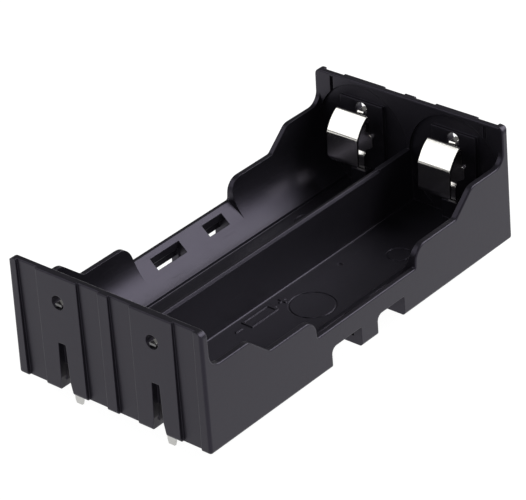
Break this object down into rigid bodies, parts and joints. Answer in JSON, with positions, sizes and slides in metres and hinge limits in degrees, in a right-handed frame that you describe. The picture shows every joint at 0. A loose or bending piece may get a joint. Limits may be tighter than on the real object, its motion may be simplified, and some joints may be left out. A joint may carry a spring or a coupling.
{
  "type": "cylindrical cell holder",
  "caption": "Open-topped moulded holder for cylindrical cells laid side by side, with folded sheet-metal spring contacts at both ends whose pins solder into a circuit board.",
  "frame": {"origin": "middle of the plane on which the housing sits on the board; the pins reach below it", "axes": "+X along the cells from one end wall to the other, +Y across the bays, +Z away from the board"},
  "size_m": [0.0776, 0.0406, 0.0249],
  "materials": {
    "housing_plastic": "satin black moulding",
    "contact_metal": "bright plated spring sheet"
  },
  "bodies": {
    "root": {"housing": "housing_plastic", "contact_near_left": "contact_metal", "contact_near_right": "contact_metal", "contact_far_left": "contact_metal", "contact_far_right": "contact_metal"}
  },
  "joints": []
}
